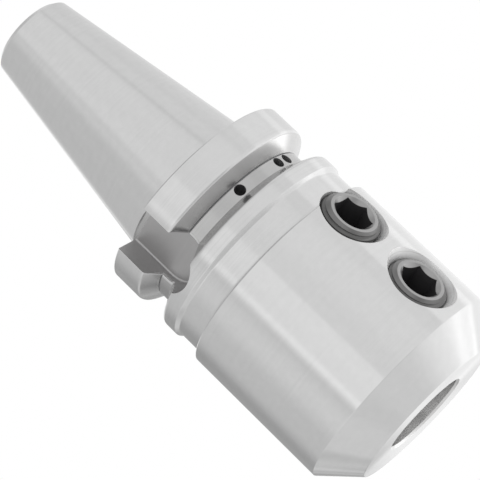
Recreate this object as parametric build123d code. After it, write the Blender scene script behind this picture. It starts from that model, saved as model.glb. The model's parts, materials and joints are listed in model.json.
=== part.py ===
from build123d import *
import math
import os

# Side lock end mill holder with a steep taper shank, in millimetres.
# Z = 0 is the flat nose face that the holder stands on, and +Z runs along the spindle axis
# to the small end of the taper. The two clamping screws point along -Y, and the drive slots
# lie on +X and -X.

# Steep taper shank
gauge_d = 44.45  # diameter at the gauge plane
taper_length = 65.4  # gauge plane to the small end
taper_rate = 7 / 24  # loss of diameter for each millimetre of length
small_end_chamfer = 1.2
relief_depth = 0.35  # undercut between the taper and the flange

# Flange, with its places measured from the gauge plane towards the nose
flange_d = 63.0
flange_rear = 2.0
flange_front = 27.0
flange_edge = 0.3  # broken edges of the flange and of the shoulder
flange_front_chamfer = 1.0
groove_centre = 16.6
groove_mouth = 10.0  # width of the gripper groove at the outside diameter
groove_angle = 60.0  # between its two flanks
groove_depth = 5.0  # outside diameter of the flange to the floor of the groove

# Drive slots
slot_width = 16.1
slot_floor = 22.6  # holder axis to the flat floor
slot_reach = 24.0  # gauge plane to the round end of the slot
slot_corner = 0.6  # rounding between the floor and the walls

# Blind balancing holes in the floor of the groove
balance_d = 3.3
balance_depth = 8.0
balance_angles = (-122.5, -88.0, -78.5)  # about +Z, from +X

# Body below the flange
gauge_height = 90.0  # nose face to the gauge plane
neck_d = 61.0
shoulder = 35.0  # gauge plane to the step from neck to body
body_d = 65.0
nose_length = 10.0  # axial length of the nose cone
nose_face_d = 46.6

# Cutter bore
bore_d = 25.0
bore_depth = 60.0
bore_chamfer = 0.4
coolant_d = 10.0  # hole that joins the cutter bore to the drawbar hole

# Drawbar hole in the small end
pilot_d = 17.0
pilot_depth = 9.0
pilot_chamfer = 0.6
tap_drill_d = 14.0  # for the M16 drawbar thread
tap_drill_depth = 43.0  # small end to the full depth of the tap drill
drill_point_angle = 118.0  # included angle of the drilled ends

# Clamping screws and their holes
screw_d = 18.0
screw_clearance = 0.05  # radial, between each screw and its hole
screw_from_nose = 23.0  # nose face to the axis of the front screw
screw_spacing = 25.0
front_screw_depth = 1.2  # crown of the body down to the head end of the front screw
rear_screw_depth = 0.1
tip_gap = 0.8  # cutter bore to the tip of the front screw
mouth_d = 21.4  # countersunk mouth of each screw hole, at the crown of the body
mouth_angle = 60.0  # included angle of that countersink
screw_rim_d = 14.0  # flat ring at the head end
screw_lead = 2.0  # length of the long chamfer at the head end
tip_d = 13.5
socket_across = 10.0  # across the flats of the hexagon
socket_sides = 6
socket_depth = 8.5
socket_rim_d = 12.2
front_socket_angle = 35.0  # turn of each hexagon about its own screw axis
rear_socket_angle = -5.5

# Places along the axis, from the nose face
small_end_z = gauge_height + taper_length
flange_rear_z = gauge_height - flange_rear
flange_front_z = gauge_height - flange_front
groove_z = gauge_height - groove_centre
shoulder_z = gauge_height - shoulder
front_screw_z = screw_from_nose
rear_screw_z = screw_from_nose + screw_spacing

# Radii that several features share
gauge_r = gauge_d / 2
flange_r = flange_d / 2
groove_floor_r = flange_r - groove_depth
body_r = body_d / 2
bore_r = bore_d / 2
coolant_r = coolant_d / 2
screw_r = screw_d / 2
screw_hole_r = screw_r + screw_clearance
socket_corner_r = socket_across / 2 / math.cos(math.pi / socket_sides)
screw_length = body_r - front_screw_depth - bore_r - tip_gap
overrun = 1.0  # how far a cutter passes the skin that it opens


def turned(points):
    """Solid turned about Z from an outline of (radius, height) points, where two may coincide."""
    corners = [point for before, point in zip([None] + points, points) if point != before]
    outline = Polyline(corners, close=True)
    return revolve(Plane.XZ * make_face(outline), axis=Axis.Z)


def drill_tip(radius):
    """Length of the drilled cone that closes a hole of this radius."""
    return radius / math.tan(math.radians(drill_point_angle / 2))


def holder_blank():
    """The turned outside, with no holes."""
    small_end_r = gauge_r - taper_length * taper_rate / 2
    chamfer_r = small_end_r + small_end_chamfer * taper_rate / 2
    half_mouth = groove_mouth / 2
    groove_run = groove_depth * math.tan(math.radians(groove_angle / 2))
    half_floor = half_mouth - groove_run
    edge_run = flange_edge * math.tan(math.radians(groove_angle / 2))
    return turned(
        [
            (0, 0),
            (nose_face_d / 2, 0),
            (body_r, nose_length),
            (body_r, shoulder_z - flange_edge),
            (body_r - flange_edge, shoulder_z),
            (neck_d / 2, shoulder_z),
            (neck_d / 2, flange_front_z),
            (flange_r - flange_front_chamfer, flange_front_z),
            (flange_r, flange_front_z + flange_front_chamfer),
            (flange_r, groove_z - half_mouth - flange_edge + edge_run),
            (flange_r - flange_edge, groove_z - half_mouth + edge_run),
            (groove_floor_r, groove_z - half_floor),
            (groove_floor_r, groove_z + half_floor),
            (flange_r - flange_edge, groove_z + half_mouth - edge_run),
            (flange_r, groove_z + half_mouth + flange_edge - edge_run),
            (flange_r, flange_rear_z - flange_edge),
            (flange_r - flange_edge, flange_rear_z),
            (gauge_r - relief_depth, flange_rear_z),
            (gauge_r - relief_depth, gauge_height - relief_depth),
            (gauge_r, gauge_height),
            (chamfer_r, small_end_z - small_end_chamfer),
            (small_end_r - small_end_chamfer, small_end_z),
            (0, small_end_z),
        ]
    )


def axial_holes():
    """Cutter bore, coolant hole and drawbar hole, as one turned cutter."""
    tap_r = tap_drill_d / 2
    pilot_r = pilot_d / 2
    tap_end = small_end_z - tap_drill_depth
    cone = drill_tip(tap_r) - drill_tip(coolant_r)
    pilot_z = small_end_z - pilot_depth
    return turned(
        [
            (0, -overrun),
            (bore_r + bore_chamfer + overrun, -overrun),
            (bore_r, bore_chamfer),
            (bore_r, bore_depth),
            (coolant_r, bore_depth),
            (coolant_r, tap_end - cone),
            (tap_r, tap_end),
            (tap_r, pilot_z),
            (pilot_r, pilot_z),
            (pilot_r, small_end_z - pilot_chamfer),
            (pilot_r + pilot_chamfer + overrun, small_end_z + overrun),
            (0, small_end_z + overrun),
        ]
    )


def drive_slot():
    """Cutter for the slot on +X, open at the rear face of the flange."""
    end_r = slot_width / 2
    end_z = gauge_height - slot_reach + end_r
    rise = gauge_height - end_z
    outline = Circle(end_r) + Rectangle(slot_width, rise, align=(Align.CENTER, Align.MIN))
    cutter = extrude(Plane.YZ.offset(slot_floor) * Pos(0, end_z) * outline, flange_r)
    floor_face = cutter.faces().sort_by(Axis.X)[0]
    seen_edges = floor_face.edges().sort_by(Axis.Z)[:-1]
    return fillet(seen_edges, slot_corner)


def balance_hole(angle):
    """Blind drilled hole into the groove floor, at an angle about +Z."""
    radius = balance_d / 2
    bottom = groove_floor_r - balance_depth
    drill = turned(
        [
            (0, bottom - drill_tip(radius)),
            (radius, bottom),
            (radius, groove_floor_r + overrun),
            (0, groove_floor_r + overrun),
        ]
    )
    return Pos(0, 0, groove_z) * Rot(0, 0, angle) * Rot(0, 90, 0) * drill


def screw_hole(height):
    """Hole from the cutter bore out through the wall along -Y, with a countersunk mouth."""
    mouth_r = mouth_d / 2
    lean = math.tan(math.radians(mouth_angle / 2))
    cone = (mouth_r - screw_hole_r) / lean
    drill = turned(
        [
            (0, 0),
            (screw_hole_r, 0),
            (screw_hole_r, body_r - cone),
            (mouth_r + overrun * lean, body_r + overrun),
            (0, body_r + overrun),
        ]
    )
    return Pos(0, 0, height) * Rot(90, 0, 0) * drill


def set_screw(height, depth, socket_angle):
    """Flat-point screw with a hexagon socket, pointing out along -Y."""
    rim_r = screw_rim_d / 2
    tip_r = tip_d / 2
    blank = turned(
        [
            (0, -screw_length),
            (tip_r, -screw_length),
            (screw_r, -screw_length + screw_r - tip_r),
            (screw_r, -screw_lead),
            (rim_r, 0),
            (0, 0),
        ]
    )
    hexagon = RegularPolygon(socket_corner_r, socket_sides, rotation=socket_angle)
    socket = extrude(Pos(0, 0, -socket_depth) * hexagon, socket_depth + overrun)
    pit_r = socket_across / 2
    rim_cone = socket_rim_d / 2 - pit_r
    drill = turned(
        [
            (0, -socket_depth - drill_tip(pit_r)),
            (pit_r, -socket_depth),
            (pit_r, -rim_cone),
            (pit_r + rim_cone + overrun, overrun),
            (0, overrun),
        ]
    )
    screw = blank - socket - drill
    return Pos(0, depth - body_r, height) * Rot(90, 0, 0) * screw


def holder_body():
    """The one-piece steel holder."""
    body = holder_blank() - axial_holes()
    for side in (0, 180):
        body -= Rot(0, 0, side) * drive_slot()
    for angle in balance_angles:
        body -= balance_hole(angle)
    for height in (front_screw_z, rear_screw_z):
        body -= screw_hole(height)
    return body


parts = {
    "holder_body": holder_body(),
    "front_set_screw": set_screw(front_screw_z, front_screw_depth, front_socket_angle),
    "rear_set_screw": set_screw(rear_screw_z, rear_screw_depth, rear_socket_angle),
}

os.makedirs("parts", exist_ok=True)
for node, shape in parts.items():
    export_step(shape, f"parts/{node}.step")
    print(f"{node}: {len(shape.solids())} solid, {shape.volume:.1f} cubic millimetres")
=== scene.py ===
import json
import math
import bpy
import bmesh
from mathutils import Matrix, Quaternion, Vector


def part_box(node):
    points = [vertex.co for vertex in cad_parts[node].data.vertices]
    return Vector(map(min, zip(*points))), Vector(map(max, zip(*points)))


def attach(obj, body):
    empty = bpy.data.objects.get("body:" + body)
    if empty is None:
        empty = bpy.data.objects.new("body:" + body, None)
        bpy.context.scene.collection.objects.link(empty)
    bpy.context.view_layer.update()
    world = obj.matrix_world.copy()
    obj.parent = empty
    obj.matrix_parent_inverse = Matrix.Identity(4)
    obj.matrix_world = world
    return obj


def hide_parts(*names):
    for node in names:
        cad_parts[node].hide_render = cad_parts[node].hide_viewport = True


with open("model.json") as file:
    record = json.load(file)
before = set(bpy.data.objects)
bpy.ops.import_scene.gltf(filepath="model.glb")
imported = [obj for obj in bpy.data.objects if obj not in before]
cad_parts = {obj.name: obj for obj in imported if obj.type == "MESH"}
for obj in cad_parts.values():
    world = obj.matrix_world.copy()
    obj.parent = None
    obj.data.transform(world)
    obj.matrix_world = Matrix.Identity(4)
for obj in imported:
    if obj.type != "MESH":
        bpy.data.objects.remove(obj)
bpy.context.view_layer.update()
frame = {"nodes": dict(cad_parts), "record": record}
mm = 0.001
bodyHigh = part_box("holder_body")[1]
bodyRadius = bodyHigh.x / mm
smallEndHeight = bodyHigh.z / mm  # from the nose face, which is at 0
mounts = {mount["name"]: mount["dims"] for mount in frame["record"]["mounts"]}
print("frame loaded:", ", ".join(frame["nodes"]))


# helpers for node trees

def plug(tree, socket, value):
    if isinstance(value, bpy.types.NodeSocket):
        tree.links.new(value, socket)
    else:
        socket.default_value = value


def addNode(tree, kind, inputs=None, **settings):
    node = tree.nodes.new(kind)
    for key, value in settings.items():
        setattr(node, key, value)
    for key, value in (inputs or {}).items():
        plug(tree, node.inputs[key], value)
    return node


def calc(tree, operation, *values):
    node = addNode(tree, "ShaderNodeMath", dict(enumerate(values)), operation=operation)
    return node.outputs[0]


def vectorCalc(tree, operation, *values):
    node = addNode(tree, "ShaderNodeVectorMath", dict(enumerate(values)), operation=operation)
    return node.outputs["Value" if operation in ("LENGTH", "DOT_PRODUCT") else "Vector"]


def smoothStep(tree, value, low, high, fromValue=0.0, toValue=1.0):
    node = addNode(tree, "ShaderNodeMapRange", {"Value": value, "From Min": low, "From Max": high,
                   "To Min": fromValue, "To Max": toValue}, interpolation_type="SMOOTHSTEP")
    return node.outputs["Result"]


def noise(tree, place, scale, detail):
    return addNode(tree, "ShaderNodeTexNoise", {"Vector": place, "Scale": scale, "Detail": detail}).outputs[0]


def aboutZero(tree, value):  # noise runs from 0 to 1
    return calc(tree, "SUBTRACT", value, 0.5)


# steel finishes

# marks is the scale of the rings that the tool left, markDepth the strength of their relief, tone
# how much they lighten and darken the steel, stretch how far they draw out a highlight, and
# gapShadeBeyond the radius in millimetres past which a screw is darkened with painted shade for the shadowed
# gap round it
finishes = {
    "groundSteel": {"color": (0.80, 0.80, 0.80), "roughness": 0.20, "stretch": 0.95,
                    "marks": 1500, "markDepth": 0.08, "tone": 0.03},
    "turnedSteel": {"color": (0.79, 0.79, 0.79), "roughness": 0.21, "stretch": 0.94,
                    "marks": 1900, "markDepth": 0.18, "tone": 0.055},
    # painted shade: the groove floor and the relief band behind the flange are darkened for the shade they
    # lie in
    "paintedShadeGrooveSteel": {"color": (0.58, 0.578, 0.576), "roughness": 0.23, "stretch": 0.75,
                    "marks": 900, "markDepth": 0.18, "tone": 0.06},
    # painted shade: the groove's flanks are darkened for the shade the groove's own walls cast on them
    "paintedShadeFlankSteel": {"color": (0.65, 0.648, 0.646), "roughness": 0.23, "stretch": 0.75,
                   "marks": 900, "markDepth": 0.18, "tone": 0.06},
    "boredSteel": {"color": (0.87, 0.866, 0.862), "roughness": 0.26, "stretch": 0.85,
                   "marks": 900, "markDepth": 0.30, "tone": 0.12},
    "sunkSteel": {"color": (0.93, 0.927, 0.923), "roughness": 0.48, "stretch": 0.5,
                  "marks": 1700, "markDepth": 0.45, "tone": 0.8},
    "milledSteel": {"color": (0.505, 0.50, 0.50), "roughness": 0.42, "stretch": 0.2,
                    "marks": 700, "markDepth": 0.20, "tone": 0.06},
    # painted shade: the tapped threads are darkened for the shadow inside the holes
    "paintedShadeTappedSteel": {"color": (0.22, 0.218, 0.216), "roughness": 0.38, "stretch": 0.3,
                    "marks": 1200, "markDepth": 0.25, "tone": 0.08},
    # painted shade: drilled holes and the fine undercut in the groove are darkened for the shade inside them
    "paintedShadeRecessSteel": {"color": (0.40, 0.40, 0.405), "roughness": 0.55, "stretch": 0.0,
                     "marks": 1500, "markDepth": 0.3, "tone": 0.1},
    "screwSteel": {"color": (0.43, 0.428, 0.427), "roughness": 0.34, "stretch": 0.4,
                   "marks": 1500, "markDepth": 0.2, "tone": 0.08},
    # black oxide of the screw; past gapShadeBeyond it carries painted shade for the shadowed gap round the
    # screw
    "oxideSteel": {"color": (0.235, 0.233, 0.232), "roughness": 0.34, "stretch": 0.4,
                   "marks": 1500, "markDepth": 0.2, "tone": 0.08, "gapShadeBeyond": 8.6},
    # the screw's black oxide darkened further with painted shade for the shadowed gap between screw and hole
    "paintedShadeThreadSteel": {"color": (0.165, 0.164, 0.163), "roughness": 0.38, "stretch": 0.3,
                    "marks": 1500, "markDepth": 0.2, "tone": 0.08, "gapShadeBeyond": 8.6},
    "socketSteel": {"color": (0.14, 0.137, 0.142), "roughness": 0.6, "stretch": 0.0,
                    "marks": 900, "markDepth": 0.3, "tone": 0.1},
}
wearAndGapShade = {  # what every steel shares, with lengths in millimetres
    "cloudScale": 45.0,
    "cloudLow": 0.35,
    "cloudHigh": 0.65,
    "streaksFaint": 0.5,  # strength of the tool marks where the clouds are low
    "streaksStrong": 2.5,  # and where they are high
    "speckScale": 500.0,
    "speckTone": 0.06,
    "roughSpread": 0.10,
    "edgeRadius": 0.16,  # edges catch the light as if rounded this much
    "markHeight": 0.01,
    # painted shade: gapShadeEdge and gapShadeTone set how fast and how far a screw darkens past
    # gapShadeBeyond, for the shadowed gap round it
    "gapShadeEdge": 0.06,
    "gapShadeTone": 0.25,
}


def steelTone(tree, look, place, radius, grain, cloud):  # tool marks, clouds and specks, about a tone of 1
    strength = smoothStep(tree, cloud, wearAndGapShade["cloudLow"], wearAndGapShade["cloudHigh"],
                          wearAndGapShade["streaksFaint"], wearAndGapShade["streaksStrong"])
    streaks = calc(tree, "MULTIPLY", aboutZero(tree, grain), strength)
    tone = calc(tree, "MULTIPLY_ADD", streaks, look["tone"], 1.0)
    tone = calc(tree, "MULTIPLY_ADD", aboutZero(tree, cloud), look["tone"], tone)
    speck = noise(tree, place, wearAndGapShade["speckScale"], 2.0)
    tone = calc(tree, "MULTIPLY_ADD", aboutZero(tree, speck), wearAndGapShade["speckTone"], tone)
    # painted shade: past gapShadeBeyond the screw is darkened where the gap round it lies in shadow
    if "gapShadeBeyond" in look:
        start, fade = look["gapShadeBeyond"] * mm, wearAndGapShade["gapShadeEdge"] * mm
        gapShade = smoothStep(tree, radius, start - fade, start + fade, 1.0, wearAndGapShade["gapShadeTone"])
        tone = calc(tree, "MULTIPLY", tone, gapShade)
    return tone


def steelMaterial(name, axis="Z", height=0.0):  # cut round the Z axis, or round a screw's axis along -Y
    look = finishes[name]
    material = bpy.data.materials.new(name if axis == "Z" else f"{name}At{height:.0f}")
    material.use_nodes = True
    tree = material.node_tree
    shader = tree.nodes["Principled BSDF"]
    place = addNode(tree, "ShaderNodeTexCoord").outputs["Object"]
    centred = vectorCalc(tree, "SUBTRACT", place, (0, 0, height * mm))
    spin = (0, 0, 1) if axis == "Z" else (0, -1, 0)
    across = (1, 1, 0) if axis == "Z" else (1, 0, 1)
    radius = vectorCalc(tree, "LENGTH", vectorCalc(tree, "MULTIPLY", centred, across))
    along = vectorCalc(tree, "DOT_PRODUCT", centred, spin)
    ring = addNode(tree, "ShaderNodeCombineXYZ", {"X": radius, "Y": along}).outputs[0]
    grain = addNode(tree, "ShaderNodeTexNoise", {"Vector": ring, "Scale": look["marks"], "Detail": 4.0,
                    "Roughness": 0.6}, noise_dimensions="2D").outputs[0]  # rings left by the tool
    cloud = noise(tree, place, wearAndGapShade["cloudScale"], 3.0)
    tint = vectorCalc(tree, "SCALE", look["color"])
    plug(tree, tint.node.inputs["Scale"], steelTone(tree, look, place, radius, grain, cloud))
    plug(tree, shader.inputs["Base Color"], tint)
    rough = calc(tree, "MULTIPLY_ADD", aboutZero(tree, cloud), wearAndGapShade["roughSpread"], look["roughness"])
    plug(tree, shader.inputs["Roughness"], rough)
    shader.inputs["Metallic"].default_value = 1.0
    shader.inputs["Anisotropic"].default_value = look["stretch"]
    softEdge = addNode(tree, "ShaderNodeBevel", {"Radius": wearAndGapShade["edgeRadius"] * mm}, samples=4).outputs[0]
    bump = addNode(tree, "ShaderNodeBump", {
        "Strength": look["markDepth"], "Distance": wearAndGapShade["markHeight"] * mm, "Height": grain,
        "Normal": softEdge}).outputs[0]
    plug(tree, shader.inputs["Normal"], bump)
    surface = addNode(tree, "ShaderNodeNewGeometry").outputs["Normal"]
    roundTheAxis = vectorCalc(tree, "CROSS_PRODUCT", spin, centred)
    lay = vectorCalc(tree, "CROSS_PRODUCT", roundTheAxis, surface)
    plug(tree, shader.inputs["Tangent"], vectorCalc(tree, "NORMALIZE", lay))
    return material


steels = {name: steelMaterial(name) for name in (
    "groundSteel", "turnedSteel", "paintedShadeGrooveSteel", "paintedShadeFlankSteel", "boredSteel", "milledSteel", "paintedShadeTappedSteel",
    "paintedShadeRecessSteel")}
print("steel finishes made")


# geometry node trees

weldGap = 1e-7  # metres
threadWeldGap = 1e-6  # metres
threadLean = math.tan(math.radians(30))  # each flank of a thread leans 30 degrees


def newShapeTree(name, sizes):
    tree = bpy.data.node_groups.new(name, "GeometryNodeTree")
    sockets = tree.interface
    sockets.new_socket("Geometry", in_out="INPUT", socket_type="NodeSocketGeometry")
    for label, value in sizes.items():
        kind = "NodeSocketInt" if isinstance(value, int) else "NodeSocketFloat"
        sockets.new_socket(label, in_out="INPUT", socket_type=kind).default_value = value
    sockets.new_socket("Material", in_out="INPUT", socket_type="NodeSocketMaterial")
    sockets.new_socket("Geometry", in_out="OUTPUT", socket_type="NodeSocketGeometry")
    return tree, addNode(tree, "NodeGroupInput").outputs, addNode(tree, "NodeGroupOutput")


def endShapeTree(tree, geometry, entry, exitNode):
    real = addNode(tree, "GeometryNodeRealizeInstances", {"Geometry": geometry}).outputs[0]
    painted = addNode(tree, "GeometryNodeSetMaterial", {"Geometry": real, "Material": entry["Material"]})
    plug(tree, exitNode.inputs[0], painted.outputs[0])


def turnedTree():  # carries an outline drawn in the XY plane round the Z axis
    tree, entry, exitNode = newShapeTree("turnedForm", {"Segments": 240, "Path Radius": 0.01})
    back = calc(tree, "MULTIPLY", entry["Path Radius"], -1)
    inward = addNode(tree, "ShaderNodeCombineXYZ", {"X": back}).outputs[0]
    flip = (1, -1, 1)  # because the sweep turns Y over
    shifted = addNode(tree, "GeometryNodeTransform", {
        "Geometry": entry["Geometry"], "Translation": inward, "Scale": flip}).outputs[0]
    outline = addNode(tree, "GeometryNodeMeshToCurve", {"Mesh": shifted}).outputs[0]
    path = addNode(tree, "GeometryNodeCurvePrimitiveCircle", {"Resolution": entry["Segments"],
                   "Radius": entry["Path Radius"]}, mode="RADIUS").outputs[0]
    upright = addNode(tree, "GeometryNodeSetCurveNormal", {"Curve": path}, mode="Z_UP").outputs[0]
    swept = addNode(tree, "GeometryNodeCurveToMesh", {"Curve": upright, "Profile Curve": outline}).outputs[0]
    closed = addNode(tree, "GeometryNodeMergeByDistance", {"Geometry": swept, "Distance": weldGap}).outputs[0]
    endShapeTree(tree, closed, entry, exitNode)
    return tree


def positionParts(tree):
    position = addNode(tree, "GeometryNodeInputPosition").outputs[0]
    return addNode(tree, "ShaderNodeSeparateXYZ", {0: position}).outputs


def threadTree():  # a right-handed screw thread along Z, closed at both ends
    sizes = {"Major Radius": 0.009, "Minor Radius": 0.008, "Pitch": 0.002, "Crest Width": 0.00025,
             "Start": 0.0, "Turns": 10, "Segments": 96}
    tree, entry, exitNode = newShapeTree("threadForm", sizes)
    pitch, start, turns = entry["Pitch"], entry["Start"], entry["Turns"]
    columns = calc(tree, "MULTIPLY_ADD", turns, entry["Segments"], 1)
    strip = addNode(tree, "GeometryNodeMeshGrid", {"Size X": 1.0, "Size Y": 4.0, "Vertices X": columns,
                    "Vertices Y": 5}).outputs[0]
    spot = positionParts(tree)
    turn = calc(tree, "MULTIPLY", calc(tree, "ADD", spot["X"], 0.5), turns)
    step = calc(tree, "ADD", spot["Y"], 2.0)  # 0 to 4 across one pitch
    depth = calc(tree, "SUBTRACT", entry["Major Radius"], entry["Minor Radius"])
    flank = calc(tree, "MULTIPLY", depth, threadLean)
    root = calc(tree, "SUBTRACT", calc(tree, "SUBTRACT", pitch, entry["Crest Width"]),
                calc(tree, "MULTIPLY", flank, 2))
    rise = 0.0
    for index, width in enumerate((entry["Crest Width"], flank, root, flank)):
        share = addNode(tree, "ShaderNodeClamp", {"Value": calc(tree, "SUBTRACT", step, index)}).outputs[0]
        rise = calc(tree, "MULTIPLY_ADD", share, width, rise)
    low = calc(tree, "COMPARE", step, 2.5, 0.75)  # the two root points
    radius = calc(tree, "SUBTRACT", entry["Major Radius"], calc(tree, "MULTIPLY", depth, low))
    angle = calc(tree, "MULTIPLY", turn, math.tau)
    height = calc(tree, "ADD", calc(tree, "MULTIPLY_ADD", turn, pitch, start), rise)
    right = calc(tree, "MULTIPLY", radius, calc(tree, "COSINE", angle))
    back = calc(tree, "MULTIPLY", radius, calc(tree, "SINE", angle))
    helix = addNode(tree, "ShaderNodeCombineXYZ", {"X": right, "Y": back, "Z": height}).outputs[0]
    wound = addNode(tree, "GeometryNodeSetPosition", {"Geometry": strip, "Position": helix}).outputs[0]
    joined = addNode(tree, "GeometryNodeMergeByDistance",
                     {"Geometry": wound, "Distance": threadWeldGap}).outputs[0]
    edge = addNode(tree, "GeometryNodeInputMeshEdgeNeighbors").outputs[0]
    rim = addNode(tree, "FunctionNodeCompare", {"A": edge, "B": 1}, data_type="INT",
                  operation="EQUAL").outputs[0]
    capped = addNode(tree, "GeometryNodeExtrudeMesh", {"Mesh": joined, "Selection": rim, "Offset Scale": 0.0},
                     mode="EDGES")  # each end then runs to a point on the axis
    span = calc(tree, "MULTIPLY", turns, pitch)
    middle = calc(tree, "MULTIPLY_ADD", span, 0.5, start)
    upper = calc(tree, "GREATER_THAN", positionParts(tree)["Z"], middle)
    peak = calc(tree, "MULTIPLY_ADD", calc(tree, "MULTIPLY_ADD", pitch, 3, span), upper,
                calc(tree, "SUBTRACT", start, pitch))
    apex = addNode(tree, "ShaderNodeCombineXYZ", {"Z": peak}).outputs[0]
    coned = addNode(tree, "GeometryNodeSetPosition", {"Geometry": capped.outputs["Mesh"],
                    "Selection": capped.outputs["Top"], "Position": apex}).outputs[0]
    closed = addNode(tree, "GeometryNodeMergeByDistance",
                     {"Geometry": coned, "Distance": threadWeldGap}).outputs[0]
    endShapeTree(tree, closed, entry, exitNode)
    return tree


turnedForm = turnedTree()
threadForm = threadTree()


# mesh helpers

def linkObject(name, data):
    obj = bpy.data.objects.new(name, data)
    bpy.context.scene.collection.objects.link(obj)
    return obj


def bake(obj):  # leaves the evaluated result as a plain mesh with no modifier
    graph = bpy.context.evaluated_depsgraph_get()
    mesh = bpy.data.meshes.new_from_object(obj.evaluated_get(graph), depsgraph=graph)
    obj.modifiers.clear()
    obj.data = mesh
    return obj


def outwards(mesh):  # turns every face away from the solid
    shape = bmesh.new()
    shape.from_mesh(mesh)
    bmesh.ops.recalc_face_normals(shape, faces=shape.faces)
    if shape.calc_volume(signed=True) < 0:
        bmesh.ops.reverse_faces(shape, faces=shape.faces)
    shape.to_mesh(mesh)
    shape.free()


def shaped(tree, name, mesh, sizes, material, placing=None):  # runs a tree and keeps the result
    obj = linkObject(name, mesh)
    modifier = obj.modifiers.new(name, "NODES")
    modifier.node_group = tree
    for item in tree.interface.items_tree:
        if item.in_out == "INPUT" and item.name in sizes:
            modifier[item.identifier] = sizes[item.name]
        elif item.in_out == "INPUT" and item.name == "Material":
            modifier[item.identifier] = material
    bake(obj)
    outwards(obj.data)
    if placing:
        obj.data.transform(placing)
    return obj


def outlineMesh(name, points, closed):  # points are (radius, height) in millimetres
    mesh = bpy.data.meshes.new(name)
    count = len(points)
    edges = [(i, (i + 1) % count) for i in range(count if closed else count - 1)]
    mesh.from_pydata([(radius * mm, height * mm, 0) for radius, height in points], edges, [])
    return mesh


def rounded(corners, steps=4):  # an outline from (radius, height, rounding) corners
    points = []
    for index, (x, y, rounding) in enumerate(corners):
        here = Vector((x, y))
        if not rounding:
            points.append(here)
            continue
        back = (Vector(corners[index - 1][:2]) - here).normalized()
        ahead = (Vector(corners[(index + 1) % len(corners)][:2]) - here).normalized()
        half = back.angle(ahead) / 2
        centre = here + (back + ahead).normalized() * rounding / math.sin(half)
        first = here + back * rounding / math.tan(half) - centre
        last = here + ahead * rounding / math.tan(half) - centre
        sweep = first.angle_signed(last)
        points += [centre + Matrix.Rotation(-sweep * k / steps, 2) @ first for k in range(steps + 1)]
    return [(point.x, point.y) for point in points]


def turned(name, points, material, segments=240, closed=False, placing=None):
    mesh = outlineMesh(name, points, closed)
    return shaped(turnedForm, name, mesh, {"Segments": segments}, material, placing)


def threaded(name, sizes, material, placing=None):
    return shaped(threadForm, name, bpy.data.meshes.new(name), sizes, material, placing)


def lofted(name, rings, material):  # closed skin over rings of points, each ring with the same count
    shape = bmesh.new()
    layers = [[shape.verts.new(Vector(point) * mm) for point in ring] for ring in rings]
    count = len(rings[0])
    for lower, upper in zip(layers, layers[1:]):
        for k in range(count):
            shape.faces.new((lower[k], lower[(k + 1) % count], upper[(k + 1) % count], upper[k]))
    shape.faces.new(layers[0])
    shape.faces.new(layers[-1])
    mesh = bpy.data.meshes.new(name)
    shape.to_mesh(mesh)
    shape.free()
    mesh.materials.append(material)
    outwards(mesh)
    return linkObject(name, mesh)


def carve(blank, tools, operation="DIFFERENCE"):  # each tool leaves its own finish on what it cuts
    for tool in tools:
        modifier = blank.modifiers.new(tool.name, "BOOLEAN")
        modifier.solver = "MANIFOLD"
        modifier.operation = operation
        modifier.material_mode = "TRANSFER"
        modifier.object = tool
    bake(blank)
    for tool in tools:
        bpy.data.objects.remove(tool)


def crisp(obj, angle, weight=90):  # smooth faces with hard edges where the real ones are
    obj.data.shade_smooth()
    obj.data.set_sharp_from_angle(angle=math.radians(angle))
    modifier = obj.modifiers.new("weighting", "WEIGHTED_NORMAL")
    modifier.keep_sharp = True
    modifier.weight = weight
    bake(obj)


# clamping screws and their thread

screw = {  # millimetres
    "radius": 8.95,  # thread crest
    "rootRadius": 7.77,
    "pitch": 2.0,
    "crestWidth": 0.25,
    "rimRadius": 7.0,
    "rimRounding": 0.12,
    "ringDepth": 0.1,  # the flat ring at the head end, worn bright by the key
    "leadLength": 2.0,  # long chamfer at the head end
    "tipRadius": 6.75,
    "tipRounding": 0.2,
    "spare": 0.02,  # the blank is this much larger than its thread
    "socketAcross": 10.0,
    "socketSides": 6,
    "socketDepth": 8.5,
    "socketRimRadius": 6.1,
    "turns": 20,
    "turnsBelow": 14,  # of them, those below the head end
    "segments": 96,
    "blankSegments": 120,
    "sharpAngle": 25,
    "threadShift": {"front_set_screw": 0.82, "rear_set_screw": 0.7},  # where a groove meets the lead chamfer
    "socketTurn": {"front_set_screw": 35.0, "rear_set_screw": -5.5},  # degrees about the screw's own axis
}
tap = {  # hole of a screw, with its countersunk mouth
    "radius": 9.05,
    "crestRadius": 7.92,
    "mouthRadius": 10.7,
    "mouthAngle": 60.0,
    "mouthSegments": 144,
}
drillPoint = 118.0  # included angle of a drilled end
drillTip = math.tan(math.radians(90 - drillPoint / 2))  # depth of its cone for each unit of radius
overrun = 1.0  # how far a cutter passes the skin that it opens


def screwPlacing(node):  # from the screw's own frame, with Z out and 0 at the head end
    low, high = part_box(node)
    return Matrix.Translation((0, low.y, (low.z + high.z) / 2)) @ Matrix.Rotation(math.pi / 2, 4, "X")


def screwThread(node, radius, rootRadius):
    start = screw["threadShift"][node] - screw["turnsBelow"] * screw["pitch"]
    return threadSizes(radius, rootRadius, start, screw["turns"])


def threadSizes(radius, rootRadius, start, turns):
    return {"Major Radius": radius * mm, "Minor Radius": rootRadius * mm, "Pitch": screw["pitch"] * mm,
            "Crest Width": screw["crestWidth"] * mm, "Start": start * mm, "Turns": turns,
            "Segments": screw["segments"]}


def screwOutline(length):
    outer = screw["radius"] + screw["spare"]
    return rounded([
        (0, -length, 0),
        (screw["tipRadius"], -length, screw["tipRounding"]),
        (outer, -length + outer - screw["tipRadius"], 0),
        (outer, -screw["leadLength"], 0),
        (screw["rimRadius"], 0, screw["rimRounding"]),
        (0, 0, 0),
    ])


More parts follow.
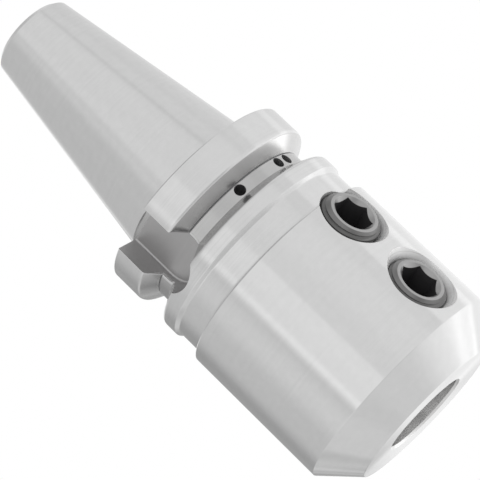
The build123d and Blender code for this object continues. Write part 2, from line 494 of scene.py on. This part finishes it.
def socketTools(node, black, steel):  # hexagon, drilled pit and the countersunk rim round them
    across, depth, sides = screw["socketAcross"] / 2, screw["socketDepth"], screw["socketSides"]
    rimCone = screw["socketRimRadius"] - across
    corner = across / math.cos(math.pi / sides)
    turns = [math.radians(screw["socketTurn"][node]) + k * math.tau / sides for k in range(sides)]
    hexagon = [[(corner * math.cos(a), corner * math.sin(a), z) for a in turns] for z in (-depth, overrun)]
    pitTop = -rimCone - 0.5 * overrun
    pit = [(0, -depth - across * drillTip), (across, -depth), (across, pitTop), (0, pitTop)]
    sink = [(0, -rimCone), (across, -rimCone), (across + rimCone + overrun, overrun), (0, overrun)]
    return [
        lofted("hexagon", hexagon, black),
        turned("pit", pit, black, screw["segments"]),
        turned("sink", sink, steel, screw["segments"]),
    ]


def setScrew(node, pieceName):
    low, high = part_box(node)
    length = (high.y - low.y) / mm
    height = (low.z + high.z) / 2 / mm
    # the thread takes the oxide with painted shade, as it lies in the shadowed gap of the hole
    steel, oxide, dark, black = (steelMaterial(finish, "Y", height) for finish in
                                 ("screwSteel", "oxideSteel", "paintedShadeThreadSteel", "socketSteel"))
    blank = turned(pieceName, screwOutline(length), oxide, screw["blankSegments"])
    thread = threaded("thread", screwThread(node, screw["radius"], screw["rootRadius"]), dark)
    carve(blank, [thread], "INTERSECT")
    carve(blank, socketTools(node, black, steel))
    bright = blank.data.materials.find(steel.name)
    for face in blank.data.polygons:
        if face.center.z > -screw["ringDepth"] * mm:
            face.material_index = bright
    blank.data.transform(screwPlacing(node))
    crisp(blank, screw["sharpAngle"])
    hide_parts(node)
    print(pieceName, "made:", len(blank.data.polygons), "faces")
    return blank


screws = {
    "front_screw": setScrew("front_set_screw", "front_clamping_screw"),
    "rear_screw": setScrew("rear_set_screw", "rear_clamping_screw"),
}


# holder body

holder = {  # millimetres, with heights from the nose face
    "boreRadius": mounts["tool_bore"]["r_mm"],
    "boreDepth": 60.0,
    "boreChamfer": 0.6,
    "boreCorner": 0.2,
    "noseFaceRadius": 23.3,
    "noseLength": 10.0,
    "noseEdge": 0.15,
    "bodyEdge": 0.2,
    "shoulder": 55.0,
    "edge": 0.3,  # broken edges of the shoulder and the flange
    "edgeRounding": 0.08,
    "chamferRounding": 0.06,
    "neckRadius": 30.5,
    "flangeFront": 63.0,
    "flangeRear": 88.0,
    "flangeRadius": 31.5,
    "frontChamfer": 1.0,
    "frontEdge": 0.3,
    "neckFoot": 0.9,  # radii that the turning tool leaves in the corners
    "chamferFoot": 0.5,
    "grooveHeight": 73.4,
    "grooveMouth": 10.0,
    "grooveDepth": 5.0,
    "grooveLean": 30.0,  # of each flank
    "grooveCorner": 0.25,
    "grooveUndercut": 0.3,  # fine relief beside the rear flank
    "mouthRounding": 1.2,
    "gaugeHeight": 90.0,
    "gaugeRadius": 22.225,
    "gaugeEdge": 0.05,
    "taperRate": 7 / 24,
    "relief": 0.35,
    "reliefCorners": (0.2, 0.1),  # at the flange and at the taper
    "smallChamfer": 1.2,
    "smallEdges": (0.2, 0.1),  # outer and inner edge of that chamfer
    "pilotRadius": mounts["drawbar_pilot"]["r_mm"],
    "pilotDepth": 9.0,
    "pilotChamfer": 0.6,
    "pilotEdge": 0.05,
    "tapDrillRadius": mounts["drawbar_thread"]["r_mm"],
    "tapDrillDepth": 43.0,
    "drawbarThread": {"radius": 8.0, "length": 32.0, "turns": 18},
    "drawbarSpare": 0.01,  # keeps the tap's crest off the drilled wall
    "coolantRadius": 5.0,
    "coolantEdge": 0.1,
    "slotWidth": 16.1,
    "slotFloor": 22.6,
    "slotEnd": 66.0,
    "slotCorner": 0.6,
    "slotOverrun": 5.0,
    "slotSteps": {"corner": 4, "bow": 48},
    "slotEdge": 0.15,  # filed edges
    "slotEdgeInGroove": 0.9,
    "slotEdgeReach": 1.5,  # depth in the groove at which the filed edge is full
    "fileSteps": {"wall": 64, "bow": 96},
    "fileOverrun": 0.5,
    "fileBulge": 0.3,  # below 0.5 the filed edge is round, not flat
    "balanceRadius": 1.65,
    "balanceDepth": 8.0,
    "balanceAngles": (-122.5, -88.0, -78.5),  # degrees about +Z, from +X
    "balanceSegments": 48,
    "segments": 240,
    "sharpAngle": 28,
    "shoulderReach": 0.5,  # the turned finish starts this far below the shoulder
    "undercutSlack": 0.03,
    "flankTilt": 0.3,  # least upright part of a flank's normal
}


def holderOutline():
    h = holder
    edge, lean = h["edge"], math.tan(math.radians(h["grooveLean"]))
    soft, fine, pilotEdge = h["edgeRounding"], h["chamferRounding"], h["pilotEdge"]
    flange, mouth = h["flangeRadius"], h["grooveMouth"] / 2
    floor = mouth - h["grooveDepth"] * lean
    groove, top = h["grooveHeight"], smallEndHeight
    inner, cut = flange - h["grooveDepth"], h["grooveUndercut"]
    smallRadius = h["gaugeRadius"] - (top - h["gaugeHeight"]) * h["taperRate"] / 2
    tapEnd = top - h["tapDrillDepth"]
    cone = (h["tapDrillRadius"] - h["coolantRadius"]) * drillTip
    return rounded([
        (h["boreRadius"] + h["boreChamfer"], 0, fine),  # nose face
        (h["noseFaceRadius"], 0, h["noseEdge"]),
        (bodyRadius, h["noseLength"], h["bodyEdge"]),
        (bodyRadius, h["shoulder"] - edge, soft),
        (bodyRadius - edge, h["shoulder"], soft),
        (h["neckRadius"], h["shoulder"], h["neckFoot"]),  # neck
        (h["neckRadius"], h["flangeFront"], h["chamferFoot"]),
        (flange, h["flangeFront"] + h["frontChamfer"], h["frontEdge"]),  # flange
        (flange, groove - mouth, h["mouthRounding"]),  # gripper groove
        (inner, groove - floor, h["grooveCorner"]),
        (inner, groove + floor - cut * 4 / 3, 0),
        (inner - cut, groove + floor - cut, 0),  # fine undercut
        (inner - cut, groove + floor - cut / 3, 0),
        (inner, groove + floor, 0),
        (flange, groove + mouth, h["mouthRounding"]),
        (flange, h["flangeRear"] - edge, soft),
        (flange - edge, h["flangeRear"], soft),
        (h["gaugeRadius"] - h["relief"], h["flangeRear"], h["reliefCorners"][0]),
        (h["gaugeRadius"] - h["relief"], h["gaugeHeight"] - h["relief"], h["reliefCorners"][1]),
        (h["gaugeRadius"], h["gaugeHeight"], h["gaugeEdge"]),  # taper
        (smallRadius + h["smallChamfer"] * h["taperRate"] / 2, top - h["smallChamfer"], h["smallEdges"][0]),
        (smallRadius - h["smallChamfer"], top, h["smallEdges"][1]),
        (h["pilotRadius"] + h["pilotChamfer"], top, pilotEdge),  # drawbar hole
        (h["pilotRadius"], top - h["pilotChamfer"], pilotEdge),
        (h["pilotRadius"], top - h["pilotDepth"], 0),
        (h["tapDrillRadius"], top - h["pilotDepth"], 0),
        (h["tapDrillRadius"], tapEnd, 0),
        (h["coolantRadius"], tapEnd - cone, 0),  # coolant hole
        (h["coolantRadius"], h["boreDepth"], h["coolantEdge"]),
        (h["boreRadius"], h["boreDepth"], h["boreCorner"]),  # cutter bore
        (h["boreRadius"], h["boreChamfer"], fine),
    ])


def slotTool(side):  # U-shaped outline with a rounded corner along the floor
    h = holder
    radius, corner, steps = h["slotWidth"] / 2, h["slotCorner"], h["slotSteps"]
    centre, top = h["slotEnd"] + radius, h["gaugeHeight"] + h["slotOverrun"]
    levels = []  # half width, and distance from the axis
    for k in range(steps["corner"] + 1):
        turn = math.radians(90 * k / steps["corner"])
        inset, out = corner * (1 - math.sin(turn)), corner * (1 - math.cos(turn))
        levels.append((radius - inset, h["slotFloor"] + out))
    levels.append((radius, bodyRadius + h["slotOverrun"]))
    bow = [math.pi + math.pi * k / steps["bow"] for k in range(steps["bow"] + 1)]
    outlines = []
    for half, out in levels:
        curve = [(side * out, half * math.cos(a), centre + half * math.sin(a)) for a in bow]
        outlines.append([(side * out, -half, top)] + curve + [(side * out, half, top)])
    return lofted("slot", outlines, steels["milledSteel"])


def flangeSkin(height):  # radius of the flange's outside at a height
    h = holder
    away = abs(height - h["grooveHeight"]) - h["grooveMouth"] / 2
    flank = h["flangeRadius"] + away / math.tan(math.radians(h["grooveLean"]))
    return min(h["flangeRadius"], max(flank, h["flangeRadius"] - h["grooveDepth"]))


def slotRim():  # stops round the slot's rim, each a place and the way out of the slot, both in Y and Z
    radius, steps = holder["slotWidth"] / 2, holder["fileSteps"]
    centre, top = holder["slotEnd"] + radius, holder["gaugeHeight"]
    wall = [(-radius, top + (centre - top) * k / steps["wall"], -1, 0) for k in range(steps["wall"])]
    bow = []
    for k in range(steps["bow"] + 1):
        a = math.pi + math.pi * k / steps["bow"]
        bow.append((radius * math.cos(a), centre + radius * math.sin(a), math.cos(a), math.sin(a)))
    return wall + bow + [(-y, z, -across, along) for y, z, across, along in reversed(wall)]


def slotEdgeTool(side):  # the filed edge of the slot, wider down in the groove than at the outside
    h = holder
    out = h["fileOverrun"]
    rings = []
    for y, z, across, along in slotRim():
        sunk = h["flangeRadius"] - flangeSkin(z)
        size = h["slotEdge"] + (h["slotEdgeInGroove"] - h["slotEdge"]) * min(sunk / h["slotEdgeReach"], 1)
        bulge = h["fileBulge"] * size
        ring = []
        for aside, lift in ((-out, -size), (0, -size), (bulge, -bulge), (size, 0), (size, out), (-out, out)):
            spotY, spotZ = y + across * aside, z + along * aside
            reach = flangeSkin(spotZ) + lift
            ring.append((side * math.sqrt(reach ** 2 - spotY ** 2), spotY, spotZ))
        rings.append(ring)
    return lofted("filedEdge", rings, steels["turnedSteel"])


def balanceTool(angle):
    radius = holder["balanceRadius"]
    floor = holder["flangeRadius"] - holder["grooveDepth"]
    bottom, top = floor - holder["balanceDepth"], floor + overrun
    outline = [(0, bottom - radius * drillTip), (radius, bottom), (radius, top), (0, top)]
    place = Matrix.Translation((0, 0, holder["grooveHeight"] * mm))
    aim = Matrix.Rotation(math.radians(angle), 4, "Z") @ Matrix.Rotation(math.pi / 2, 4, "Y")
    # painted shade: the balance hole takes the dark steel that stands for the shade in it
    return turned("drill", outline, steels["paintedShadeRecessSteel"], holder["balanceSegments"], placing=place @ aim)


def screwHoleTools(node):  # countersunk mouth and thread of one screw hole
    placing = screwPlacing(node)
    height = placing.translation.z / mm
    # painted shade: the tapped wall of the screw hole gets darkened steel
    sunk, tapped = (steelMaterial(name, "Y", height) for name in ("sunkSteel", "paintedShadeTappedSteel"))
    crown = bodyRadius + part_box(node)[0].y / mm  # crown of the body in the screw's own frame
    lean = math.tan(math.radians(tap["mouthAngle"] / 2))
    inner = crown - (tap["mouthRadius"] - tap["crestRadius"]) / lean
    outer, top = tap["mouthRadius"] + overrun * lean, crown + overrun
    mouth = [(0, inner), (tap["crestRadius"], inner), (outer, top), (0, top)]
    sizes = screwThread(node, tap["radius"], tap["crestRadius"])
    return [
        turned("mouth", mouth, sunk, tap["mouthSegments"], placing=placing),
        threaded("tap", sizes, tapped, placing),
    ]


def drawbarTap():
    thread = holder["drawbarThread"]
    start = smallEndHeight - holder["pilotDepth"] - thread["length"]
    crest = holder["tapDrillRadius"] - holder["drawbarSpare"]
    sizes = threadSizes(thread["radius"], crest, start, thread["turns"])
    return threaded("drawbarTap", sizes, steels["paintedShadeTappedSteel"])


def zoneFinish(face):  # finish of a face of the turned outline, by its place
    h = holder
    height, radius = face.center.z / mm, face.center.xy.length / mm
    if radius < h["boreRadius"] + h["boreChamfer"] and face.normal.xy.dot(face.center.xy) <= 0:
        return "boredSteel"
    # painted shade: the flanks and floor of the gripper groove get darker steels for the shade that falls in
    # the groove
    if abs(height - h["grooveHeight"]) < h["grooveMouth"] / 2 and radius < h["flangeRadius"] - h["edge"]:
        # painted shade: the fine undercut gets the dark steel of the drilled holes
        if radius < h["flangeRadius"] - h["grooveDepth"] - h["undercutSlack"]:
            return "paintedShadeRecessSteel"
        return "paintedShadeFlankSteel" if abs(face.normal.z) > h["flankTilt"] else "paintedShadeGrooveSteel"
    # painted shade: the relief band between flange and taper gets the darker groove steel
    if h["flangeRear"] < height < h["gaugeHeight"] and radius > h["pilotRadius"]:
        return "paintedShadeGrooveSteel"
    if h["shoulder"] - h["shoulderReach"] < height <= h["flangeRear"] and radius > h["pilotRadius"]:
        return "turnedSteel"
    return "groundSteel"


def paintZones(body):
    mesh = body.data
    slots = {material.name: index for index, material in enumerate(mesh.materials)}
    for name in ("turnedSteel", "paintedShadeGrooveSteel", "paintedShadeFlankSteel", "boredSteel"):
        if name not in slots:
            mesh.materials.append(steels[name])
            slots[name] = len(mesh.materials) - 1
    for face in mesh.polygons:
        if face.material_index == slots["groundSteel"]:
            face.material_index = slots[zoneFinish(face)]


def holderBody():
    body = turned("end_mill_holder", holderOutline(), steels["groundSteel"], holder["segments"], closed=True)
    tools = [make(side) for make in (slotTool, slotEdgeTool) for side in (1, -1)]
    tools += [balanceTool(angle) for angle in holder["balanceAngles"]]
    for node in ("front_set_screw", "rear_set_screw"):
        tools += screwHoleTools(node)
    tools.append(drawbarTap())
    carve(body, tools)
    paintZones(body)
    crisp(body, holder["sharpAngle"])
    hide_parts("holder_body")
    print("end_mill_holder made:", len(body.data.polygons), "faces")
    return body


body = holderBody()
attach(body, "holder")
for name, piece in screws.items():
    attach(piece, name)


# studio

stand = {  # lengths in metres, as in the rest of the studio
    "halfWidth": 1.6,
    "drop": 0.05 * mm,
    "color": (0.86, 0.86, 0.86),
    "roughness": 0.9,
    "specular": 0.1,
    "fadeStart": 0.22,
    "fadeEnd": 0.75,
}
overhead = {"size": 0.9, "energy": 5.0, "place": (0.1, -0.1, 1.1)}
lens = {
    "place": (-0.45083, -0.35795, -0.06698),
    "aim": (-0.00056, 0.0007, 0.069935),
    "roll": -45.98,
    "focal": 161.4,  # millimetres, as the sensor
    "sensor": 36.0,
    "clip": (0.01, 20),
}
tent = {
    "base": 0.77,
    "panels": [  # azimuth, half width, softness, lowest and highest elevation, softness, added light
        {"at": 66, "half": 27, "soft": 30, "low": -6, "high": 17, "fade": 3, "light": -0.22},
        {"at": 84, "half": 30, "soft": 20, "low": 12.5, "high": 17, "fade": 3, "light": -0.08},
        {"at": 0, "half": 26, "soft": 12, "low": 12.5, "high": 17, "fade": 3, "light": -0.18},
        {"at": 55, "half": 10, "soft": 10, "low": 17, "high": 40, "fade": 3, "light": 0.26},
        {"at": 54, "half": 8, "soft": 3, "low": -26, "high": -11, "fade": 4, "light": -0.30},
        {"at": 62, "half": 8, "soft": 3, "low": -38, "high": -19, "fade": 6, "light": -0.35},
        {"at": 109, "half": 64, "soft": 6, "low": -12, "high": 17, "fade": 6, "light": -0.17},
        {"at": 120, "half": 60, "soft": 50, "low": 17, "high": 60, "fade": 4, "light": -0.19},
        {"at": 109, "half": 64, "soft": 6, "low": -75, "high": -12, "fade": 20, "light": -0.07},
        {"at": 89, "half": 8, "soft": 3, "low": -36, "high": -12, "fade": 5, "light": -0.15},
        {"at": 154, "half": 15, "soft": 26, "low": -50, "high": 17, "fade": 8, "light": 0.15},
        {"at": 222, "half": 40, "soft": 8, "low": -56, "high": -22, "fade": 7, "light": -0.28},
        {"at": 173.5, "half": 2.5, "soft": 1, "low": -15, "high": 17, "fade": 4, "light": -0.06},
        {"at": 190, "half": 5, "soft": 3, "low": 17, "high": 60, "fade": 4, "light": -0.05},
        {"at": 196.5, "half": 19.5, "soft": 0.5, "low": -15, "high": 17, "fade": 4, "light": 0.13},
        {"at": 181.5, "half": 2.5, "soft": 1, "low": -15, "high": 17, "fade": 4, "light": 0.12},
        {"at": 262, "half": 22, "soft": 20, "low": -20, "high": 17, "fade": 6, "light": 0.05},
        {"at": 284, "half": 3, "soft": 2, "low": 17, "high": 45, "fade": 3, "light": -0.12},
        {"at": 300, "half": 26, "soft": 30, "low": 17, "high": 45, "fade": 3, "light": -0.04},
        {"at": 340, "half": 26, "soft": 12, "low": 17, "high": 45, "fade": 3, "light": -0.05},
        {"at": 340, "half": 2.0, "soft": 1, "low": -54, "high": -28, "fade": 8, "light": 0.7},
        {"at": 325, "half": 28, "soft": 2, "low": -80, "high": 17, "fade": 6, "light": 0.15},
        {"at": 12, "half": 33, "soft": 10, "low": -60, "high": 17, "fade": 8, "light": 0.2},
        {"at": 38.5, "half": 1.0, "soft": 0.8, "low": -26, "high": 0, "fade": 8, "light": 0.17},
        {"at": 44, "half": 4, "soft": 0.8, "low": -26, "high": 0, "fade": 8, "light": -0.28},
        {"at": 11, "half": 10, "soft": 6, "low": -62, "high": -24, "fade": 10, "light": 0.85},
        {"at": 0, "half": 200, "soft": 1, "low": 62, "high": 100, "fade": 14, "light": -0.33},
        {"at": 0, "half": 200, "soft": 1, "low": -100, "high": -62, "fade": 14, "light": -0.05},
    ],
}


def floorPlane():
    size = stand["halfWidth"]
    mesh = bpy.data.meshes.new("stand")
    corners = [(x * size, y * size, -stand["drop"]) for x, y in ((-1, -1), (1, -1), (1, 1), (-1, 1))]
    mesh.from_pydata(corners, [], [(0, 1, 2, 3)])
    plane = linkObject("stand", mesh)
    material = bpy.data.materials.new("paleFloor")
    material.use_nodes = True
    tree = material.node_tree
    shader = tree.nodes["Principled BSDF"]
    shader.inputs["Base Color"].default_value = (*stand["color"], 1)
    shader.inputs["Roughness"].default_value = stand["roughness"]
    shader.inputs["Specular IOR Level"].default_value = stand["specular"]
    reach = vectorCalc(tree, "LENGTH", addNode(tree, "ShaderNodeTexCoord").outputs["Object"])
    fade = smoothStep(tree, reach, stand["fadeStart"], stand["fadeEnd"], 1.0, 0.0)
    under = addNode(tree, "ShaderNodeNewGeometry").outputs["Backfacing"]
    shown = calc(tree, "MULTIPLY", fade, calc(tree, "SUBTRACT", 1.0, under))
    plug(tree, shader.inputs["Alpha"], shown)
    mesh.materials.append(material)
    plane.visible_shadow = False  # light reaches the nose face from below
    plane.visible_glossy = False
    plane.visible_diffuse = False
    plane.visible_transmission = False


def panelArea(tree, azimuth, elevation, panel):  # 1 on the panel, fading to 0 round it
    at, half, soft = (math.radians(panel[key]) for key in ("at", "half", "soft"))
    low, high, fade = (math.radians(panel[key]) for key in ("low", "high", "fade"))
    aside = calc(tree, "SUBTRACT", azimuth, at)
    aside = calc(tree, "ABSOLUTE", calc(tree, "WRAP", aside, math.pi, -math.pi))
    wide = smoothStep(tree, aside, half - soft / 2, half + soft / 2, 1.0, 0.0)
    bottom = smoothStep(tree, elevation, low - fade / 2, low + fade / 2)
    top = smoothStep(tree, elevation, high - fade / 2, high + fade / 2, 1.0, 0.0)
    return calc(tree, "MULTIPLY", wide, calc(tree, "MULTIPLY", bottom, top))


def studioWorld():
    world = bpy.data.worlds.new("lightTent")
    bpy.context.scene.world = world
    world.use_nodes = True
    tree = world.node_tree
    backdrop = tree.nodes["Background"]
    sky = addNode(tree, "ShaderNodeTexCoord").outputs["Generated"]
    way = addNode(tree, "ShaderNodeSeparateXYZ", {0: sky}).outputs
    azimuth = calc(tree, "ARCTAN2", way["Y"], way["X"])
    elevation = calc(tree, "ARCSINE", way["Z"])
    total = tent["base"]
    for panel in tent["panels"]:
        area = panelArea(tree, azimuth, elevation, panel)
        total = calc(tree, "MULTIPLY_ADD", area, panel["light"], total)
    seen = addNode(tree, "ShaderNodeLightPath").outputs["Is Camera Ray"]
    strength = addNode(tree, "ShaderNodeMix", {"Factor": seen, "A": total, "B": 1.0}).outputs[0]
    plug(tree, backdrop.inputs["Strength"], strength)
    backdrop.inputs["Color"].default_value = (1, 1, 1, 1)


def topLight():
    light = bpy.data.lights.new("overhead", "AREA")
    light.shape = "DISK"
    light.size = overhead["size"]
    light.energy = overhead["energy"]
    lamp = linkObject("overhead", light)
    lamp.location = overhead["place"]
    lamp.visible_glossy = False  # it only lights the floor


def camera():
    data = bpy.data.cameras.new("camera")
    data.lens, data.sensor_width = lens["focal"], lens["sensor"]
    cam = linkObject("camera", data)
    place = Vector(lens["place"])
    facing = (Vector(lens["aim"]) - place).to_track_quat("-Z", "Y")
    cam.location = place
    cam.rotation_mode = "QUATERNION"
    cam.rotation_quaternion = facing @ Quaternion((0, 0, 1), math.radians(lens["roll"]))
    data.clip_start, data.clip_end = lens["clip"]
    bpy.context.scene.camera = cam


floorPlane()
studioWorld()
topLight()
camera()
bpy.context.scene.view_settings.view_transform = "Standard"
print("studio ready")
